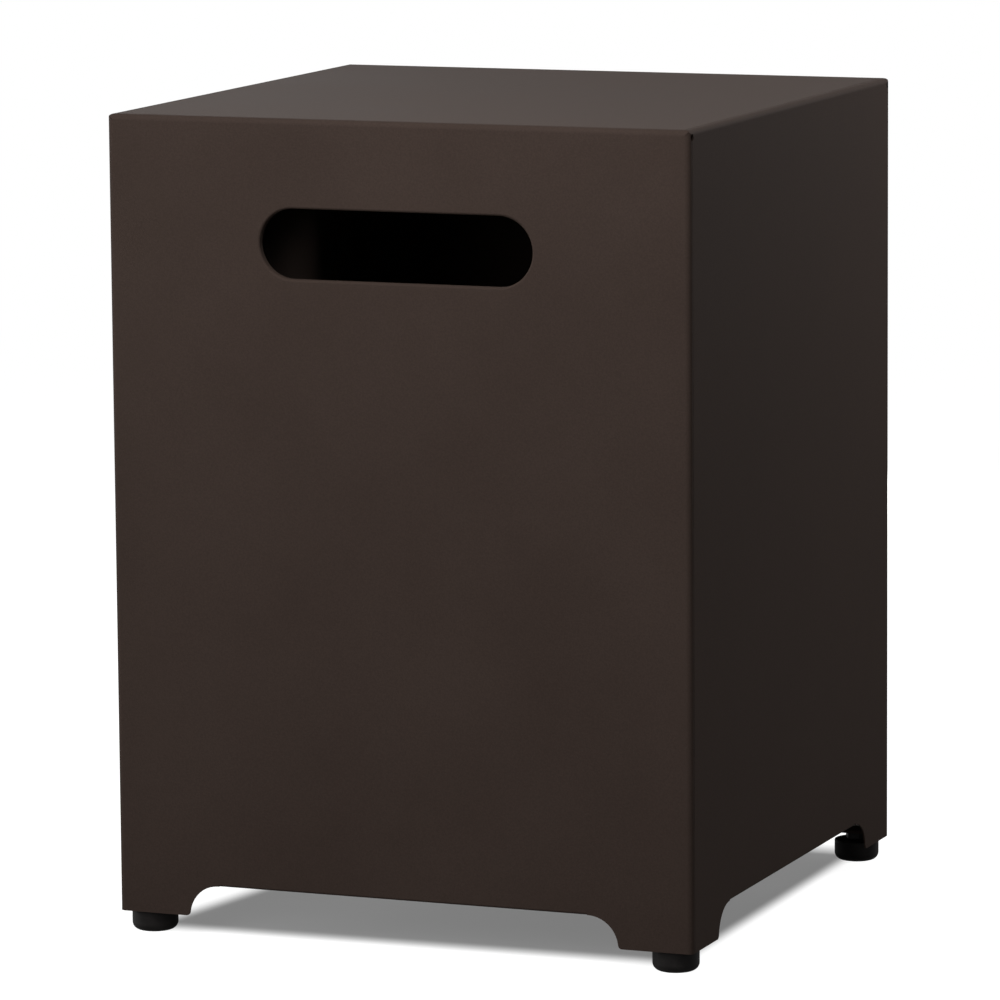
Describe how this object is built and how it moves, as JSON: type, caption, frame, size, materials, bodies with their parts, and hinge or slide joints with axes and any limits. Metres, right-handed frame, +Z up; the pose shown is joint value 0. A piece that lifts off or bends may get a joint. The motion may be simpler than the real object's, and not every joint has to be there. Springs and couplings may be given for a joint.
{
  "type": "propane tank cover table",
  "caption": "Square side table of folded sheet steel that stands over a gas bottle: open below, with hand holds, low arches between the legs and adjustable screw feet",
  "frame": {"origin": "centre of the plan at floor level, under the pads", "axes": "+X to the right and +Y to the back as seen from the front hand hold, +Z up"},
  "size_m": [0.39, 0.39, 0.526],
  "materials": {
    "powder_coat": "dark brown powder coat, semi-matte with a fine texture",
    "zinc_steel": "bright zinc plate",
    "black_steel": "black zinc plate, slightly oily",
    "foot_plastic": "black moulded nylon, fine texture"
  },
  "bodies": {
    "shell": {"front_panel": "powder_coat", "back_panel": "powder_coat", "left_panel": "powder_coat", "right_panel": "powder_coat", "top_panel": "powder_coat", "top_stiffener_front": "powder_coat", "top_stiffener_rear": "powder_coat", "top_panel_studs": "zinc_steel", "top_flange_nuts": "zinc_steel", "left_seam_nuts": "zinc_steel", "right_seam_nuts": "zinc_steel", "bracket_nuts": "zinc_steel", "foot_weld_nuts": "zinc_steel", "front_panel_studs": "zinc_steel", "back_panel_studs": "zinc_steel", "left_panel_studs": "zinc_steel", "right_panel_studs": "zinc_steel", "corner_bracket_front_left": "powder_coat", "corner_bracket_front_right": "powder_coat", "corner_bracket_back_right": "powder_coat", "corner_bracket_back_left": "powder_coat"},
    "pad_front_left": {"foot_pad_front_left": "foot_plastic"},
    "stud_front_left": {"foot_stud_front_left": "black_steel"},
    "pad_front_right": {"foot_pad_front_right": "foot_plastic"},
    "stud_front_right": {"foot_stud_front_right": "black_steel"},
    "pad_back_right": {"foot_pad_back_right": "foot_plastic"},
    "stud_back_right": {"foot_stud_back_right": "black_steel"},
    "pad_back_left": {"foot_pad_back_left": "foot_plastic"},
    "stud_back_left": {"foot_stud_back_left": "black_steel"}
  },
  "joints": [
    {"name": "foot_slide_front_left", "type": "slide", "parent": "shell", "child": "pad_front_left", "axis": [0, 0, -1], "range_m": [0, 0.0125]},
    {"name": "foot_turn_front_left", "type": "hinge", "parent": "pad_front_left", "child": "stud_front_left", "pos_m": [-0.178, -0.178, 0], "axis": [0, 0, -1], "range_deg": [0, 3600]},
    {"name": "foot_slide_front_right", "type": "slide", "parent": "shell", "child": "pad_front_right", "axis": [0, 0, -1], "range_m": [0, 0.0125]},
    {"name": "foot_turn_front_right", "type": "hinge", "parent": "pad_front_right", "child": "stud_front_right", "pos_m": [0.178, -0.178, 0], "axis": [0, 0, -1], "range_deg": [0, 3600]},
    {"name": "foot_slide_back_right", "type": "slide", "parent": "shell", "child": "pad_back_right", "axis": [0, 0, -1], "range_m": [0, 0.0125]},
    {"name": "foot_turn_back_right", "type": "hinge", "parent": "pad_back_right", "child": "stud_back_right", "pos_m": [0.178, 0.178, 0], "axis": [0, 0, -1], "range_deg": [0, 3600]},
    {"name": "foot_slide_back_left", "type": "slide", "parent": "shell", "child": "pad_back_left", "axis": [0, 0, -1], "range_m": [0, 0.0125]},
    {"name": "foot_turn_back_left", "type": "hinge", "parent": "pad_back_left", "child": "stud_back_left", "pos_m": [-0.178, 0.178, 0], "axis": [0, 0, -1], "range_deg": [0, 3600]}
  ],
  "couplings": [
    {"joint": "foot_turn_front_left", "follows": "foot_slide_front_left", "rad_per_m": 5026.5},
    {"joint": "foot_turn_front_right", "follows": "foot_slide_front_right", "rad_per_m": 5026.5},
    {"joint": "foot_turn_back_right", "follows": "foot_slide_back_right", "rad_per_m": 5026.5},
    {"joint": "foot_turn_back_left", "follows": "foot_slide_back_left", "rad_per_m": 5026.5}
  ]
}
